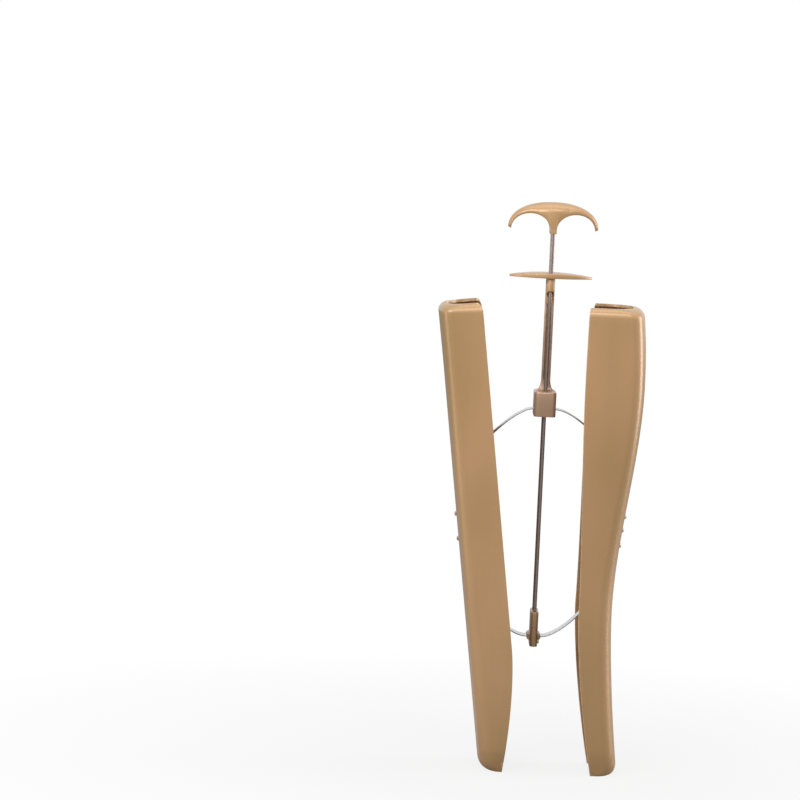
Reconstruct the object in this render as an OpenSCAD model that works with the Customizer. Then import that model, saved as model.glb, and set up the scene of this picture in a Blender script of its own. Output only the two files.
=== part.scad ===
// Boot shaper for tall boots: a shin shell and a calf shell, held apart by two bowed
// spring bands. Squeezing the handle towards the finger flange pushes the end block
// down, away from the block, and so draws both shells inwards.
// X runs from the shin side to the calf side, Y across the shells and Z up. The origin
// lies on the ground below the middle of the shaper, which stands on its two shells.

/* [Shells] */
// Height of both shells
shell_h = 376.5; // [340:0.5:410]
// Thickness of the shell walls
wall_t = 2.2; // [1.8:0.1:3]
// Depth across the shells at the top
depth_top = 73; // [68:1:84]
// Depth across the shells at the crease
depth_crease = 65; // [61:1:76]
// Depth across the shells above the lead-in
depth_foot = 61; // [57:1:72]
// Height of the faint crease where the taper across the shells changes
crease_z = 193; // [170:1:215]
// Height of the lead-in at the foot of the shells
lead_h = 17.5; // [12:0.5:24]
// How far the lead-in draws each side in at the foot
lead_in = 3.5; // [2:0.5:5]
// Outer radius of the rolled rim at the top
rim_r = 7; // [5:0.5:8]
// Width of the flat lip inside the rolled rim
rim_lip = 1.5; // [1:0.5:3]
// Corner radius of the shells where the rolled rim begins to close over
rim_corner_r = 30; // [20:1:32]
// How far the rolled rim stops short of the free edges
rim_back = 4; // [2:0.5:6]
// How much lower the rim is at the front of the shin shell than at its free edges
rim_drop = 2.7; // [0:0.1:5]
// How far the free edge of the calf shell's far side stands back at the top
far_set_back = 7; // [0:0.5:10]
// Radius that rounds the outer wall of each shell in at the foot
foot_round_r = 9; // [6:0.5:12]

/* [Shin shell] */
// Distance from the rods to the front of the shin shell at the top
shin_reach_top = 89.5; // [84:0.5:98]
// Distance from the rods to the front of the shin shell at the foot
shin_reach_foot = 39.5; // [37:0.5:46]
// Width of the sides of the shin shell
shin_side_w = 35.3; // [30:0.1:38]
// Width of the sides of the shin shell at the foot
shin_foot_w = 18.6; // [17:0.1:24]
// Height below which the sides of the shin shell narrow
shin_taper_z = 100; // [70:1:130]
// Corner radius of the shin shell
shin_corner_r = 8; // [6:0.5:10]
// Corner radius of the shin shell at the foot
shin_foot_r = 13; // [9:0.5:14]
// Radius of the crowned front of the shin shell
shin_front_r = 170; // [130:5:300]

/* [Calf shell] */
// Distance from the rods to the back of the calf shell at the top
calf_reach_top = 76; // [72:0.5:84]
// Distance from the rods to the calf shell where it bulges most
calf_reach_bulge = 79.6; // [76:0.1:88]
// Distance from the rods to the back of the calf shell at the ankle
calf_reach_ankle = 62.3; // [58:0.1:68]
// Distance from the rods to the back of the calf shell at the foot
calf_reach_foot = 72.5; // [66:0.5:78]
// Width of the sides of the calf shell at the top
calf_w_top = 45.2; // [40:0.1:50]
// Width of the sides of the calf shell where it bulges most
calf_w_bulge = 49.2; // [44:0.1:54]
// Width of the sides of the calf shell at the ankle
calf_w_ankle = 28; // [25:0.5:33]
// Width of the sides of the calf shell at the foot
calf_w_foot = 22.5; // [20:0.5:28]
// Height of the calf bulge
bulge_z = 315; // [295:1:330]
// Height of the ankle
ankle_z = 130; // [110:1:150]
// Corner radius of the calf shell
calf_corner_r = 10; // [8:0.5:13]
// Radius of the crowned back of the calf shell
calf_back_r = 140; // [110:5:260]

/* [Bands] */
// Width of the spring bands
band_w = 14; // [10:0.5:15]
// Thickness of the spring bands
band_t = 0.8; // [0.6:0.1:1.2]
// Height at which the ends of the two bands meet on the shells
seat_z = 190; // [180:1:200]
// Rise of the upper band from its ends to the block
upper_bow = 102; // [92:1:112]
// Drop of the lower band from its ends to the end block
lower_bow = 82; // [74:1:90]
// Length of the upper band that lies on a shell wall
upper_tab = 25; // [23:0.5:30]
// Length of the lower band that lies on a shell wall
lower_tab = 12; // [10:0.5:16]
// Diameter of the rivet shanks
rivet_d = 2.4; // [2:0.1:3]
// Diameter of the rivet heads
rivet_head_d = 4.4; // [4:0.1:5.5]
// Height of the rivet heads
rivet_head_h = 1.4; // [1:0.1:2]

/* [Rods and block] */
// Diameter of the two rods
rod_d = 2.8; // [2.5:0.1:3.4]
// Distance between the rods
rod_gap = 19; // [18.6:0.2:22]
// Width of the block
block_w = 17.5; // [16:0.5:22]
// Depth of the block
block_d = 30; // [27:0.5:34]
// Height of the block
block_h = 20; // [17:0.5:26]
// Height of the upper band above the underside of the block
band_in_block = 5.5; // [4:0.5:7]
// Width of the spine above the block
spine_w = 7.2; // [6.4:0.2:8]
// Depth of the spine
spine_d = 5; // [4.4:0.2:6]
// Length of the spine between the block and the sleeve of the finger flange
spine_l = 70; // [60:0.5:80]
// Height of the concave flare between spine and block
flare_h = 9.5; // [7:0.5:13]

/* [Finger flange] */
// Length of the finger flange
flange_l = 66; // [60:1:76]
// Depth of the finger flange
flange_d = 32; // [29:1:38]
// Thickness of the finger flange at its ends
flange_t = 1.7; // [1.4:0.1:2.4]
// Height by which the finger flange is crowned
flange_crown = 2.1; // [1.5:0.1:4]
// Height of the sleeve and its tongue below the flange
sleeve_h = 20.8; // [18:0.2:24]
// Outer diameter of the two tubes of the sleeve
tube_d = 6.5; // [6:0.1:7.2]

/* [Handle] */
// Length of the handle
handle_l = 72.6; // [66:0.2:82]
// Height of the handle from its tips to its crown
handle_rise = 21; // [18:0.5:25]
// Depth of the handle in the middle
handle_d = 24; // [23:0.5:28]
// Depth of the handle at its tips
tip_d = 8; // [6:0.5:11]
// Thickness of the handle above the finger arches
grip_t = 5.8; // [4.8:0.1:7]
// Half width of a finger arch
arch_w = 16.2; // [14:0.2:17]
// Width of the stem at its waist
stem_w = 4.2; // [3.8:0.1:5.6]
// Length of the stem below its waist
stem_l = 3.2; // [2:0.2:5]
// Wall around the hollow below the handle
handle_wall = 2.2; // [1.8:0.1:2.8]
// Thickness of the rib inside the hollow
rib_t = 1.6; // [1.2:0.1:2.4]
// Travel of the handle until its stem meets the finger flange
travel = 31; // [20:1:36]

/* [End block] */
// Width of the end block
end_w = 6.2; // [5.8:0.1:7.4]
// Depth of the end block
end_d = 27; // [25:0.5:31]
// Height of the end block
end_h = 28; // [24:0.5:34]
// Height of the lower band above the underside of the end block
band_in_end = 7.5; // [7:0.5:10]
// Reach of the rounded lips through which the lower band leaves the end block
lip_reach = 2.6; // [2:0.2:3.4]

/* [Hidden] */
SHIN = -1;
CALF = 1;
gold = [0.69, 0.55, 0.37];
dark_gold = [0.55, 0.43, 0.3];
rod_grey = [0.55, 0.54, 0.54];
band_grey = [0.8, 0.81, 0.82];
round_fn = 48;

// Clearances
slide_gap = 0.08;
seat_gap = 0.05;
pass_gap = 0.25;
band_gap = 0.45;
head_gap = 0.1;
stop_gap = 0.5;
band_end_gap = 1.5;
cut = 0.5;

// Fixed features of the shells
taper_power = 1.6;
lead_power = 1.2;
least_r = 0.8;
corner_share = 0.88;
corner_steps = 5;
front_steps = 4;
foot_turn = 80;
foot_steps = 5;
lead_steps = 2;
rim_drop_from = 50;
lower_steps = 12;
upper_steps = 14;
rim_steps = 5;

// Rivet places, measured from the level where the band ends meet
shin_upper_rivets = [14];
calf_upper_rivets = [6.5, 17.5];
lower_rivet = 6;

// Bend of the bands: flat length at the middle and length of the two tangents
upper_flat = block_w / 2 + 0.5;
shin_pull = 14;
calf_pull = 19;
upper_push = 34;
lower_flat = end_w / 2 + lip_reach + 0.3;
shin_low_pull = 21;
calf_low_pull = 17;
lower_push = 30;
bend_steps = 18;

// Screws
screw_d = 2.4;
screw_head_d = 4.6;
screw_head_h = 1.6;
screw_grip = 5;
lock_d = 1.6;
lock_head_d = 3.2;
lock_head_h = 1.3;

// Heights that follow from the sizes above
upper_z = seat_z + upper_bow;
lower_z = seat_z - lower_bow;
block_z = upper_z - band_in_block;
block_top = block_z + block_h;
tongue_z = block_top + spine_l;
flange_z = tongue_z + sleeve_h;
flange_top = flange_z + flange_t + flange_crown;
stem_z = flange_top + travel + stop_gap;
arch_z = stem_z + stem_l;
arch_x = arch_w + stem_w / 2;
grip_b = handle_rise;
grip_a = handle_l / 2;
tip_z = arch_z + 1;
crown_z = tip_z + grip_b;
arch_rise = tip_z + grip_b * sqrt(1 - pow(arch_x / grip_a, 2)) - grip_t - arch_z;
end_z = lower_z - band_in_end;
end_top = end_z + end_h;
rod_y = rod_gap / 2;
rod_r = rod_d / 2;
rod_seat = 1.6;
rod_low = end_z + rod_seat;
rod_high = stem_z + 19;
lock_z = rod_low + lock_d / 2 + 0.9;

function mix(a, b, t) = a + (b - a) * t;
function ease(t) = t * t * (3 - 2 * t);
function limit(t) = min(max(t, 0), 1);

// Shape of the shells over their height, measured outwards from the rods

function calf_line(z, top, bulge, ankle, foot) =
    z > bulge_z ? mix(bulge, top, pow((z - bulge_z) / (shell_h - bulge_z), 2))
    : z > ankle_z ? mix(ankle, bulge, ease((z - ankle_z) / (bulge_z - ankle_z)))
    : mix(ankle, foot, pow(limit((ankle_z - z) / ankle_z), taper_power));

function reach(side, z) =
    side == SHIN ? mix(shin_reach_foot, shin_reach_top, z / shell_h)
    : calf_line(z, calf_reach_top, calf_reach_bulge, calf_reach_ankle, calf_reach_foot);

function side_w(side, z) =
    side == CALF ? calf_line(z, calf_w_top, calf_w_bulge, calf_w_ankle, calf_w_foot)
    : mix(shin_side_w, shin_foot_w,
        pow(limit((shin_taper_z - z) / shin_taper_z), taper_power));

function corner_r(side, z) =
    side == CALF ? calf_corner_r
    : mix(shin_foot_r, shin_corner_r, ease(limit(z / (shin_taper_z * 1.5))));

function crown_r(side) = side == SHIN ? shin_front_r : calf_back_r;

function lead(z) = pow(limit((lead_h - z) / lead_h), lead_power);

function half_depth(z) =
    (z > crease_z ? mix(depth_crease, depth_top, (z - crease_z) / (shell_h - crease_z))
    : mix(depth_foot, depth_crease, z / crease_z)) / 2 - lead_in * lead(z);

// The origin lies midway between the outermost faces of the two shells
axis_x = (reach(SHIN, shell_h - rim_r) - calf_reach_bulge) / 2;

function wall_tilt(side, z) = atan((reach(side, z + 1) - reach(side, z - 1)) / 2);

// One half of a section line, from the free edge round the corner to the middle
function half_line(far, edge, half_d, corner, crown) =
    let (
        fall = asin((half_d - corner) / (crown - corner)),
        cx = far - crown + (crown - corner) * cos(fall)
    )
    concat(
        [[edge, half_d]],
        [for (i = [0 : corner_steps])
            let (a = mix(90, fall, i / corner_steps))
            [cx + corner * cos(a), half_d - corner + corner * sin(a)]],
        [for (i = [1 : front_steps])
            let (a = fall * (1 - i / front_steps))
            [far - crown + crown * cos(a), crown * sin(a)]]
    );

// Angle through which the outer wall has rounded in at height z, near the foot
foot_rise = foot_round_r * sin(foot_turn);
function foot_angle(z) = asin(limit((foot_rise - z) / foot_round_r));

// How far the free edge of the far side stands back at height z
function far_back(side, z) =
    side == CALF ? far_set_back * limit((z - ankle_z) / (shell_h - ankle_z)) : 0;

function drop_share(side, z) =
    side == SHIN ? limit((z - shell_h + rim_drop_from) / rim_drop_from) : 0;

// One side of the section line of a shell at height z, drawn in by inset, with its free
// edge set back. turn goes from 0 to 1 as the rim closes over. The foot ends level
function side_line(side, z, inset, turn, back) =
    let (
        foot = foot_angle(z),
        lean = z > 0 ? foot : 0,
        edge = reach(side, z) - side_w(side, z) + turn * rim_back + back,
        far = reach(side, z) - foot_round_r * (1 - cos(foot)) - inset * cos(lean),
        corner = mix(corner_r(side, z), rim_corner_r, turn) - inset,
        half = half_line(
            far, edge,
            half_depth(z) - inset,
            max(min(corner, corner_share * (far - edge)), least_r),
            crown_r(side) - inset)
    )
    [for (p = half)
        let (out = limit((p[0] - edge) / (far - edge)))
        [p[0], p[1], z + inset * sin(lean) * ease(limit(2 * out - 1))
            - rim_drop * drop_share(side, z) * out]];

// The whole section line: the far side, then the near side
function shell_line(side, z, inset, turn) =
    let (
        beyond = side_line(side, z, inset, turn, far_back(side, z)),
        near = side_line(side, z, inset, turn, 0),
        last = len(near) - 1
    )
    concat(beyond, [for (i = [1 : last]) let (p = near[last - i]) [p[0], -p[1], p[2]]]);

// Rings of a shell from the foot to the rim: height and inset of the outer face, then of
// the inner face, and how far the rim has closed over
function shell_levels() =
    let (roll_z = shell_h - rim_r)
    concat(
        [for (i = [foot_steps : -1 : 1])
            level(foot_rise - foot_round_r * sin(foot_turn * i / foot_steps))],
        [for (i = [0 : lead_steps - 1]) level(mix(foot_rise, lead_h, i / lead_steps))],
        [for (i = [0 : lower_steps - 1]) level(mix(lead_h, crease_z, i / lower_steps))],
        [for (i = [0 : upper_steps - 1]) level(mix(crease_z, roll_z, i / upper_steps))],
        [for (i = [0 : rim_steps])
            let (a = 90 * i / rim_steps, in_r = rim_r - wall_t)
            [roll_z + rim_r * sin(a), rim_r * (1 - cos(a)),
                roll_z + in_r * sin(a), rim_r - in_r * cos(a), 1 - cos(a)]],
        [[shell_h, rim_r + rim_lip, shell_h - wall_t, rim_r + rim_lip, 1]]
    );

function level(z) = [z, 0, z, wall_t, 0];

function quad(a, b, c, d) = [[a, b, c], [a, c, d]];

// A hollow loft: each ring is an outer line of n points and an inner line of n points
module lofted_wall(rings, n) {
    last = len(rings) - 1;
    function outer(i, k) = i * 2 * n + k;
    function inner(i, k) = i * 2 * n + n + k;
    along = [for (i = [0 : last - 1], k = [0 : n - 2])
        each concat(
            quad(outer(i, k), outer(i, k + 1), outer(i + 1, k + 1), outer(i + 1, k)),
            quad(inner(i, k), inner(i + 1, k), inner(i + 1, k + 1), inner(i, k + 1)))];
    edges = [for (i = [0 : last - 1])
        each concat(
            quad(outer(i, 0), outer(i + 1, 0), inner(i + 1, 0), inner(i, 0)),
            quad(outer(i, n - 1), inner(i, n - 1), inner(i + 1, n - 1), outer(i + 1, n - 1)))];
    ends = [for (k = [0 : n - 2])
        each concat(
            quad(outer(0, k), inner(0, k), inner(0, k + 1), outer(0, k + 1)),
            quad(outer(last, k), outer(last, k + 1), inner(last, k + 1), inner(last, k)))];
    polyhedron(points = [for (r = rings) each r], faces = concat(along, edges, ends));
}

// Places its children at the rods
module at_axis() {
    translate([axis_x, 0, 0])
        children();
}

// Turns what is drawn for the calf side to the side asked for
module on_side(side) {
    at_axis()
        mirror([side == SHIN ? 1 : 0, 0, 0])
            children();
}

// Stands its children on the outer face of a shell at height z, with +Z outwards
module on_wall(side, z) {
    on_side(side)
        translate([reach(side, z), 0, z])
            rotate([0, 90 + wall_tilt(side, z), 0])
                children();
}

module rod_places() {
    for (y = [-rod_y, rod_y])
        translate([0, y, 0])
            children();
}

module round_rect(w, d, r) {
    square([w - 2 * r, d], center = true);
    square([w, d - 2 * r], center = true);
    for (x = [-1, 1], y = [-1, 1])
        translate([x * (w / 2 - r), y * (d / 2 - r)])
            circle(r, $fn = round_fn);
}

module rod_bores(low, high, gap) {
    rod_places()
        translate([0, 0, low])
            cylinder(r = rod_r + gap, h = high - low, $fn = round_fn);
}

// Shells

function upper_rivets(side) = side == SHIN ? shin_upper_rivets : calf_upper_rivets;

module half_shell(side) {
    rings = [for (l = shell_levels())
        concat(shell_line(side, l[0], l[1], l[4]), shell_line(side, l[2], l[3], l[4]))];
    difference() {
        on_side(side)
            lofted_wall(rings, len(rings[0]) / 2);
        for (h = concat([seat_z - lower_rivet], [for (r = upper_rivets(side)) seat_z + r]))
            on_wall(side, h)
                cylinder(d = rivet_d + 2 * slide_gap, h = 6 * wall_t, center = true,
                    $fn = round_fn);
    }
}

module shin_shell() {
    color(gold)
        half_shell(SHIN);
}

module calf_shell() {
    color(gold)
        half_shell(CALF);
}

// A rivet on a shell wall: domed head outside, shank through wall and band, flat head
module rivet(side, z) {
    grip = wall_t + band_gap + band_t + head_gap;
    dome = (pow(rivet_head_d / 2, 2) + pow(rivet_head_h, 2)) / (2 * rivet_head_h);
    on_wall(side, z)
        union() {
            translate([0, 0, head_gap])
                intersection() {
                    cylinder(d = rivet_head_d, h = rivet_head_h, $fn = round_fn);
                    translate([0, 0, rivet_head_h - dome])
                        sphere(dome, $fn = 2 * round_fn);
                }
            translate([0, 0, -grip])
                cylinder(d = rivet_d, h = grip + head_gap + cut, $fn = round_fn);
            translate([0, 0, -grip - rivet_head_h / 2])
                cylinder(d = rivet_head_d, h = rivet_head_h / 2, $fn = round_fn);
        }
}

module upper_rivet_set(side) {
    color(rod_grey)
        for (r = upper_rivets(side))
            rivet(side, seat_z + r);
}

module shin_upper_rivet() {
    upper_rivet_set(SHIN);
}

module calf_upper_rivets() {
    upper_rivet_set(CALF);
}

module shin_lower_rivet() {
    color(rod_grey)
        rivet(SHIN, seat_z - lower_rivet);
}

module calf_lower_rivet() {
    color(rod_grey)
        rivet(CALF, seat_z - lower_rivet);
}

// Spring bands

function bezier(a, b, c, d, t) =
    pow(1 - t, 3) * a + 3 * pow(1 - t, 2) * t * b + 3 * (1 - t) * t * t * c + t * t * t * d;

// Middle line of one half of a band, from its flat middle to its end on a shell wall.
// up is 1 for the upper band and -1 for the lower one
function half_band(side, up, mid_z, flat, pull, push, tab) =
    let (
        end_at = seat_z + up * band_end_gap / 2,
        hold_z = end_at + up * tab / 2,
        tilt = wall_tilt(side, hold_z),
        hold_x = reach(side, hold_z) - (wall_t + band_gap + band_t / 2) / cos(tilt),
        along = [sin(tilt), cos(tilt)],
        tab_start = [hold_x, hold_z] + up * along * tab / 2,
        tab_end = [hold_x, hold_z] - up * along * tab / 2
    )
    concat(
        [for (i = [0 : bend_steps])
            bezier([flat, mid_z], [flat + pull, mid_z], tab_start + up * along * push,
                tab_start, i / bend_steps)],
        [tab_end]
    );

function mirrored(path) = [for (i = [len(path) - 1 : -1 : 0]) [-path[i][0], path[i][1]]];

function band_path(up, mid_z, flat, pulls, push, tab) =
    concat(
        mirrored(half_band(SHIN, up, mid_z, flat, pulls[0], push, tab)),
        half_band(CALF, up, mid_z, flat, pulls[1], push, tab));

function unit(v) = v / norm(v);

// The path moved sideways by s at each of its points
function beside(path, s) =
    [for (i = [0 : len(path) - 1])
        let (d = unit(path[min(i + 1, len(path) - 1)] - path[max(i - 1, 0)]))
        path[i] + s * [-d[1], d[0]]];

function reversed(path) = [for (i = [len(path) - 1 : -1 : 0]) path[i]];

module band_strip(path) {
    at_axis()
        rotate([90, 0, 0])
            linear_extrude(height = band_w, center = true)
                polygon(concat(beside(path, band_t / 2), reversed(beside(path, -band_t / 2))));
}

module band_holes(places) {
    for (p = places)
        on_wall(p[0], seat_z + p[1])
            cylinder(d = rivet_d + 2 * pass_gap, h = 8 * wall_t, center = true,
                $fn = round_fn);
}

module middle_hole(z) {
    at_axis()
        translate([0, 0, z])
            cylinder(d = screw_d + 2 * pass_gap, h = 4 * band_t, center = true,
                $fn = round_fn);
}

module upper_band() {
    color(band_grey)
        difference() {
            band_strip(band_path(1, upper_z, upper_flat, [shin_pull, calf_pull], upper_push,
                upper_tab));
            band_holes(concat([for (r = shin_upper_rivets) [SHIN, r]],
                [for (r = calf_upper_rivets) [CALF, r]]));
            middle_hole(upper_z);
        }
}

module lower_band() {
    color(band_grey)
        difference() {
            band_strip(band_path(-1, lower_z, lower_flat, [shin_low_pull, calf_low_pull],
                lower_push, lower_tab));
            band_holes([for (side = [SHIN, CALF]) [side, -lower_rivet]]);
            middle_hole(lower_z);
        }
}

// A slot right through along X that a band passes and is clamped in
module band_slot(w, z) {
    translate([0, 0, z])
        cube([w + 2 * cut, band_w + 2 * pass_gap, band_t + 2 * seat_gap], center = true);
}

module screw_hole(low, head) {
    translate([0, 0, low - cut])
        cylinder(d = screw_d + 2 * seat_gap, h = head + screw_grip + cut, $fn = round_fn);
    translate([0, 0, low - cut])
        cylinder(d = screw_head_d + 2 * seat_gap, h = screw_head_h + cut, $fn = round_fn);
}

// A screw that enters from below, with its head flush at low
module upward_screw(low, grip) {
    translate([0, 0, low])
        cylinder(d = screw_head_d, h = screw_head_h, $fn = round_fn);
    translate([0, 0, low])
        cylinder(d = screw_d, h = grip, $fn = round_fn);
}

// Rods

module rod(y) {
    color(rod_grey)
        at_axis()
            translate([0, y, 0])
                difference() {
                    translate([0, 0, rod_low])
                        cylinder(r = rod_r, h = rod_high - rod_low, $fn = round_fn);
                    translate([0, 0, lock_z])
                        rotate([0, 90, 0])
                            cylinder(d = lock_d + 2 * seat_gap, h = 2 * rod_d, center = true,
                                $fn = round_fn);
                }
}

module front_rod() {
    rod(-rod_y);
}

module back_rod() {
    rod(rod_y);
}

// Spine and block

spine_web = 1.8;
spine_lip = 1.7;
tenon_w = 3.4;
tenon_h = 8;
block_bevel = 2.6;
block_corner = 3.5;
flare_steps = 8;

// Grooved section of the spine: two outer strips joined by a thin web
module spine_section() {
    square([spine_w - 2 * spine_lip + 2 * cut, spine_web], center = true);
    for (x = [-1, 1])
        translate([x * (spine_w - spine_lip) / 2, 0])
            square([spine_lip, spine_d], center = true);
}

// Side view of the flare: a concave quarter curve on each side, down to the block
module flare_outline() {
    foot = block_w / 2 - block_bevel;
    edge = [for (i = [0 : flare_steps])
        let (a = 90 * i / flare_steps)
        [foot - (foot - spine_w / 2) * sin(a), flare_h * (1 - cos(a))]];
    polygon(concat(edge, [for (i = [flare_steps : -1 : 0]) [-edge[i][0], edge[i][1]]]));
}

module block_body() {
    translate([0, 0, block_z])
        linear_extrude(height = block_h - block_bevel)
            round_rect(block_w, block_d, block_corner);
    hull()
        for (s = [0, block_bevel])
            translate([0, 0, block_top - block_bevel + s])
                linear_extrude(height = 0.01)
                    round_rect(block_w - 2 * s, block_d - 2 * s, block_corner - s);
}

module spine() {
    color(gold)
        at_axis()
            difference() {
                union() {
                    block_body();
                    translate([0, 0, block_top - cut])
                        linear_extrude(height = spine_l + cut)
                            spine_section();
                    translate([0, 0, tongue_z - cut])
                        linear_extrude(height = tenon_h + cut)
                            square([tenon_w, spine_web], center = true);
                    translate([0, 0, block_top - 0.01])
                        rotate([90, 0, 0])
                            linear_extrude(height = spine_d, center = true)
                                flare_outline();
                }
                rod_bores(block_z - cut, block_top + cut, slide_gap);
                band_slot(block_w, upper_z);
                screw_hole(block_z, band_in_block);
            }
}

module block_screw() {
    color(rod_grey)
        at_axis()
            upward_screw(block_z, band_in_block + screw_grip);
}

// Finger flange with its sleeve

lens_steps = 14;
tip_round = 3;
mouth_wall = 0.9;
guide_h = 4;
tube_skirt = 9;

// Outline of the flange from above: two arcs that meet in rounded ends
function lens_outline() =
    let (
        half_l = flange_l / 2 - tip_round,
        half_d = flange_d / 2 - tip_round,
        r = (half_l * half_l + half_d * half_d) / (2 * half_d),
        sweep = asin(half_l / r),
        end = 90 - sweep
    )
    [for (s = [1, -1])
        each concat(
            [for (i = [-lens_steps : lens_steps])
                let (a = 90 - sweep * i / lens_steps)
                s * ([r * cos(a), r * sin(a) - r + half_d] + tip_round * [cos(a), sin(a)])],
            [for (b = [0.5, 0, -0.5])
                s * ([half_l, 0] + tip_round * [cos(b * end), sin(b * end)])])];

module flange_plate() {
    crown_r = (pow(flange_l / 2, 2) + pow(flange_crown, 2)) / (2 * flange_crown);
    intersection() {
        translate([0, 0, flange_z])
            linear_extrude(height = flange_t + flange_crown)
                polygon(lens_outline());
        translate([0, 0, flange_top - crown_r])
            rotate([90, 0, 0])
                cylinder(r = crown_r, h = 2 * flange_d, center = true, $fn = 360);
    }
}

// Plan of the sleeve: a tube round each rod, joined by webs to the tongue
module sleeve_plan() {
    for (y = [-rod_y, rod_y])
        translate([0, y])
            circle(d = tube_d, $fn = round_fn);
    square([spine_w / 2, rod_gap], center = true);
    square([spine_w, spine_d], center = true);
}

// Side view of the sleeve: the tubes are cut off at a slant down to the tongue
module sleeve_side() {
    wide = rod_y + tube_d / 2 + cut;
    narrow = spine_d / 2;
    skirt = flange_z - tube_skirt;
    slant = tongue_z + 1.5;
    polygon([
        [-wide, flange_z + cut], [-wide, skirt], [-narrow, slant], [-narrow, tongue_z],
        [narrow, tongue_z], [narrow, slant], [wide, skirt], [wide, flange_z + cut]]);
}

module finger_flange() {
    color(gold)
        at_axis()
            difference() {
                union() {
                    flange_plate();
                    intersection() {
                        translate([0, 0, tongue_z])
                            linear_extrude(height = sleeve_h + cut)
                                sleeve_plan();
                        rotate([90, 0, 90])
                            linear_extrude(height = 2 * tube_d, center = true)
                                sleeve_side();
                    }
                }
                rod_bores(tongue_z - cut, flange_top + cut, slide_gap);
                rod_places()
                    translate([0, 0, tongue_z - cut])
                        cylinder(d = tube_d - 2 * mouth_wall, h = sleeve_h - guide_h + cut,
                            $fn = round_fn);
                translate([0, 0, tongue_z - cut])
                    linear_extrude(height = tenon_h + 2 * cut)
                        square([tenon_w + 2 * seat_gap, spine_web + 2 * seat_gap], center = true);
            }
}

// Handle

arm_steps = 20;
arm_turn = 85;
arm_power = 1.5;
grip_power = 0.92;
tip_share = 0.6;
top_round = 6;
round_steps = 8;
soft_share = 0.75;
pocket_from = 3;
pocket_to = 13;
pocket_steps = 4;
pocket_below = 2;
stem_step = 0.1;
stem_flare = 0.3;

function arch_point(a, grow) =
    [arch_x + (arch_w - grow) * cos(a), arch_z + (arch_rise - grow) * sin(a)];

function crown_point(a, inset) =
    let (turn = arm_turn * (1 - pow(1 - a / 180, arm_power)))
    [(grip_a - inset) * pow(cos(turn), grip_power),
        tip_z + (grip_b - inset) * pow(sin(turn), grip_power)];

function grip_depth(x) = mix(handle_d, tip_d, pow(min(abs(x) / grip_a, 1), 2)) / 2;

// Stations of one arm of the handle, from its tip over the finger arch to the stem:
// point of the arch, point of the crown, half depth
function arm_stations() =
    [for (i = [0 : arm_steps])
        let (a = 180 * i / arm_steps, top = crown_point(a, 0))
        [arch_point(a, 0), top, grip_depth(top[0]) * (i == 0 ? tip_share : 1)]];

function flipped(s) = [[-s[0][0], s[0][1]], [-s[1][0], s[1][1]], s[2]];

function grip_stations() =
    let (arm = arm_stations(), last = len(arm) - 1)
    concat(
        arm,
        [[[0, arch_z], [0, crown_z], handle_d / 2]],
        [for (i = [last : -1 : 0]) flipped(arm[i])]);

// Section across the handle: flat below, upright sides and a crowned top
function grip_section(s) =
    let (
        up = s[1] - s[0],
        tall = norm(up),
        dir = up / tall,
        soft = min(tall * soft_share, top_round),
        flat = [[-s[2], 0], for (i = [0 : round_steps])
            let (a = 180 - 180 * i / round_steps)
            [s[2] * cos(a), tall - soft + soft * sin(a)], [s[2], 0]]
    )
    [for (p = flat) [s[0][0] + dir[0] * p[1], p[0], s[0][1] + dir[1] * p[1]]];

// A solid loft through closed sections of n points
module lofted_solid(sections) {
    n = len(sections[0]);
    last = len(sections) - 1;
    sides = [for (i = [0 : last - 1], k = [0 : n - 1])
        let (j = (k + 1) % n)
        each quad(i * n + k, (i + 1) * n + k, (i + 1) * n + j, i * n + j)];
    ends = [for (k = [1 : n - 2])
        each [[0, k, k + 1], [last * n, last * n + k + 1, last * n + k]]];
    polyhedron(points = [for (s = sections) each s], faces = concat(sides, ends));
}

// Drop of the crowned top at distance y from the middle of a section of half depth d
function crown_drop(y, d, soft) = soft * (1 - sqrt(1 - pow(y / d, 2)));

// One pocket of the hollow, beside the rib, from near the tip to near the stem
module grip_pocket() {
    stations = arm_stations();
    sections = [for (i = [pocket_from : pocket_to])
        let (
            s = stations[i],
            up = s[1] - s[0],
            tall = norm(up),
            dir = up / tall,
            soft = min(tall * soft_share, top_round),
            wide = s[2] - handle_wall,
            flat = concat(
                [[rib_t / 2, -pocket_below]],
                [for (k = [0 : pocket_steps])
                    let (y = mix(rib_t / 2, wide, k / pocket_steps))
                    [y, tall - handle_wall - crown_drop(y, s[2] - handle_wall / 2, soft)]],
                [[wide, -pocket_below]])
        )
        [for (p = flat) [s[0][0] + dir[0] * p[1], p[0], s[0][1] + dir[1] * p[1]]]];
    lofted_solid(sections);
}

// Front view of the foot of the stem, which widens downwards below its waist
module stem_outline() {
    waist = stem_w / 2 - stem_step;
    foot = stem_w / 2 + stem_flare;
    polygon([[-foot, stem_z], [foot, stem_z], [waist, arch_z + cut], [-waist, arch_z + cut]]);
}

module handle() {
    color(gold)
        at_axis()
            difference() {
                union() {
                    lofted_solid([for (s = grip_stations()) grip_section(s)]);
                    rotate([90, 0, 0])
                        linear_extrude(height = handle_d - 2 * cut, center = true)
                            stem_outline();
                }
                for (x = [0, 1], y = [0, 1])
                    mirror([x, 0, 0])
                        mirror([0, y, 0])
                            grip_pocket();
                rod_bores(stem_z - cut, rod_high, seat_gap);
            }
}

// End block with its screws

end_bevel = 0.8;
end_round_share = 0.48;
lip_r = 2.9;
lip_side = 1.5;

module end_plan(inset) {
    w = end_w - 2 * inset;
    round_rect(w, end_d - 2 * inset, end_round_share * w);
}

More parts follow.
